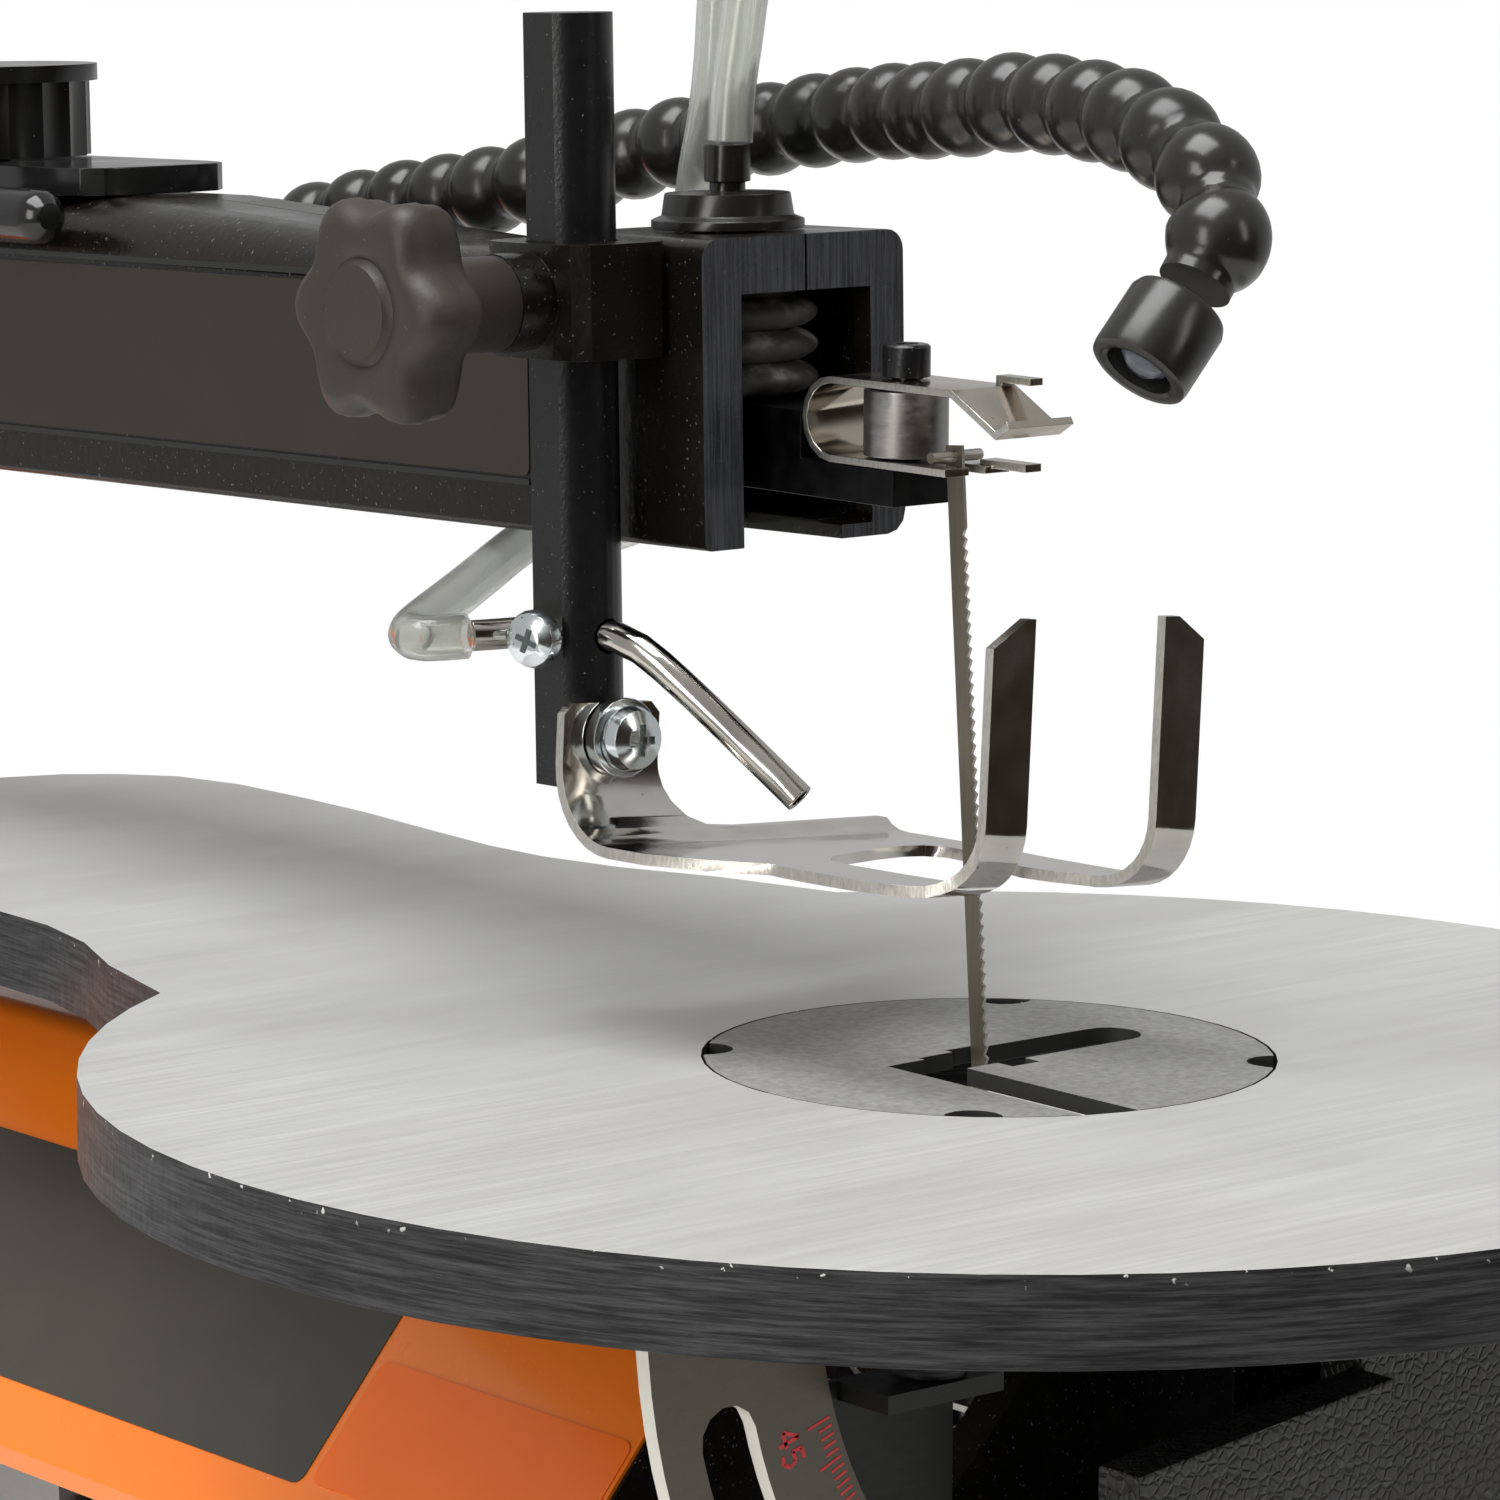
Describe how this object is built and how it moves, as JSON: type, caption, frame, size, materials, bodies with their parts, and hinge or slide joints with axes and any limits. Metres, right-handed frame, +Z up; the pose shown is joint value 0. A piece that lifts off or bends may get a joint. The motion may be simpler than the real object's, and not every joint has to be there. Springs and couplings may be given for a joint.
{
  "type": "scroll saw",
  "caption": "Bench scroll saw: parallel rocking arms drive an upright pin-end blade through a round-nosed tilting table, with hold-down foot, dust blower and gooseneck lamp.",
  "frame": {"origin": "centre of the object's box at bench level, under the rubber feet", "axes": "+Z up, +X to the operator's right, +Y from the operator's side to the rear of the saw"},
  "size_m": [0.254, 0.667, 0.3772],
  "materials": {
    "black_coat": "satin black paint",
    "orange_coat": "gloss orange paint",
    "table_metal": "ground and machined",
    "insert_metal": "bead blasted",
    "plain_steel": "bare steel",
    "scale_steel": "bare steel with a degree scale",
    "blade_steel": "dark tempered steel",
    "clip_nickel": "nickel plate",
    "foot_chrome": "bright chrome",
    "screw_zinc": "clear zinc plate",
    "black_oxide": "black oxide",
    "crank_iron": "as cast",
    "black_moulding": "fine texture",
    "knob_moulding": "matte",
    "lamp_moulding": "gloss",
    "switch_moulding": "gloss red",
    "soft_rubber": "matte",
    "hose_clear": "clear flexible tube",
    "lens_clear": "clear moulded lens"
  },
  "bodies": {
    "root": {"base_plate": "black_coat", "foot_front_left": "soft_rubber", "foot_front_right": "soft_rubber", "foot_rear_left": "soft_rubber", "foot_rear_right": "soft_rubber", "front_stand": "black_coat", "rear_stand": "black_coat", "lower_housing_left": "orange_coat", "lower_housing_right": "orange_coat", "column_left": "orange_coat", "column_right": "orange_coat", "cord_gland": "soft_rubber", "arm_housing_left": "black_coat", "arm_housing_right": "black_coat", "arm_top_cover": "black_moulding", "bellows_cap": "black_moulding", "air_bellows": "soft_rubber", "upper_pivot_pin": "plain_steel", "lower_pivot_pin": "plain_steel", "motor_housing": "black_coat", "motor_end_cover": "black_moulding", "trunnion_bracket": "black_coat", "tilt_pointer": "switch_moulding", "air_hose": "hose_clear", "control_box": "black_moulding", "lamp_base": "lamp_moulding"},
    "upper_arm": {"upper_rocker_arm": "crank_iron", "upper_blade_clip": "clip_nickel", "upper_clip_spacer": "plain_steel", "upper_clip_screw": "black_oxide"},
    "lower_arm": {"lower_rocker_arm": "crank_iron", "lower_blade_clip": "clip_nickel", "lower_clip_spacer": "plain_steel", "lower_clip_screw": "black_oxide"},
    "blade": {"saw_blade": "blade_steel"},
    "rear_rod": {"tension_rod": "plain_steel", "tension_spring": "screw_zinc"},
    "rear_knob": {"tension_knob": "knob_moulding"},
    "crank": {"crank_wheel": "crank_iron", "motor_rotor": "plain_steel"},
    "con_rod": {"connecting_rod": "plain_steel"},
    "tilting_table": {"table": "table_metal", "table_insert": "insert_metal", "bevel_plate": "scale_steel"},
    "tilt_knob": {"tilt_lock_knob": "knob_moulding"},
    "post": {"foot_post": "black_oxide", "blower_tube": "foot_chrome", "tube_set_screw": "screw_zinc", "foot_screw": "screw_zinc"},
    "foot": {"hold_down_foot": "foot_chrome", "foot_washer": "screw_zinc"},
    "post_knob": {"post_lock_knob": "knob_moulding"},
    "lever": {"tension_lever": "black_moulding"},
    "switch": {"power_switch": "switch_moulding"},
    "speed": {"speed_knob": "knob_moulding"},
    "lamp_lower": {"gooseneck_lower": "lamp_moulding"},
    "lamp_upper": {"gooseneck_upper": "lamp_moulding"},
    "lamp_end": {"lamp_head": "lamp_moulding", "lamp_lens": "lens_clear"}
  },
  "joints": [
    {"name": "upper_rock", "type": "hinge", "parent": "root", "child": "upper_arm", "pos_m": [0, 0.2235, 0.287], "axis": [1, 0, 0], "range_deg": [-0.97, 0.97], "deforming": ["air_bellows"]},
    {"name": "lower_rock", "type": "hinge", "parent": "root", "child": "lower_arm", "pos_m": [0, 0.2141, 0.1633], "axis": [1, 0, 0], "range_deg": [-0.97, 0.97]},
    {"name": "blade_pin", "type": "hinge", "parent": "upper_arm", "child": "blade", "pos_m": [0, -0.1983, 0.2885], "axis": [1, 0, 0], "range_deg": [-0.97, 0.97]},
    {"name": "rod_pin", "type": "hinge", "parent": "upper_arm", "child": "rear_rod", "pos_m": [0, 0.2635, 0.287], "axis": [1, 0, 0], "range_deg": [-0.97, 0.97]},
    {"name": "tension_knob_turn", "type": "hinge", "parent": "rear_rod", "child": "rear_knob", "pos_m": [0, 0.26547, 0.31293], "axis": [0, 0.0758, 0.9971], "continuous": true},
    {"name": "crank_turn", "type": "hinge", "parent": "root", "child": "crank", "pos_m": [0, 0.0235, 0.073], "axis": [1, 0, 0], "continuous": true},
    {"name": "rod_swing", "type": "hinge", "parent": "lower_arm", "child": "con_rod", "pos_m": [0, 0.0235, 0.1575], "axis": [1, 0, 0], "range_deg": [-0.97, 0.97]},
    {"name": "table_tilt", "type": "hinge", "parent": "root", "child": "tilting_table", "pos_m": [0, -0.2065, 0.193], "axis": [0, -1, 0], "range_deg": [0, 45]},
    {"name": "tilt_lock_turn", "type": "hinge", "parent": "root", "child": "tilt_knob", "pos_m": [-0.04228, -0.2515, 0.12065], "axis": [0, 1, 0], "continuous": true},
    {"name": "post_slide", "type": "slide", "parent": "root", "child": "post", "axis": [0, 0.0262, 0.9997], "range_m": [-0.02, 0.02], "deforming": ["air_hose"]},
    {"name": "foot_tilt", "type": "hinge", "parent": "post", "child": "foot", "pos_m": [-0.028, -0.157, 0.2468], "axis": [0, 0.9997, -0.0262], "range_deg": [-8, 8]},
    {"name": "post_knob_turn", "type": "hinge", "parent": "root", "child": "post_knob", "pos_m": [-0.056, -0.14798, 0.30841], "axis": [1, 0, 0], "continuous": true},
    {"name": "tension_lever_turn", "type": "hinge", "parent": "root", "child": "lever", "pos_m": [0, 0.04713, 0.31771], "axis": [0, -0.0262, -0.9997], "range_deg": [0, 90]},
    {"name": "power_switch_rock", "type": "hinge", "parent": "root", "child": "switch", "pos_m": [0.061, -0.257, 0.116], "axis": [1, 0, 0], "range_deg": [-12, 0]},
    {"name": "speed_turn", "type": "hinge", "parent": "root", "child": "speed", "pos_m": [0.096, -0.2609, 0.11], "axis": [0, 1, 0], "range_deg": [0, 270]},
    {"name": "lamp_base_turn", "type": "hinge", "parent": "root", "child": "lamp_lower", "pos_m": [0.0266, 0.0065, 0.3035], "axis": [0, 0, 1], "range_deg": [0, 35]},
    {"name": "lamp_elbow", "type": "hinge", "parent": "lamp_lower", "child": "lamp_upper", "pos_m": [0.0298, -0.0855, 0.3226], "axis": [0, 0, 1], "range_deg": [0, 45]},
    {"name": "lamp_head_turn", "type": "hinge", "parent": "lamp_upper", "child": "lamp_end", "pos_m": [-0.0114, -0.2594, 0.3192], "axis": [0, 1, 0], "range_deg": [-20, 20]}
  ],
  "couplings": [
    {"joint": "lower_rock", "follows": "upper_rock", "ratio": 1},
    {"joint": "blade_pin", "follows": "upper_rock", "ratio": -1},
    {"joint": "rod_pin", "follows": "upper_rock", "ratio": -1},
    {"joint": "rod_swing", "follows": "upper_rock", "ratio": -1}
  ]
}
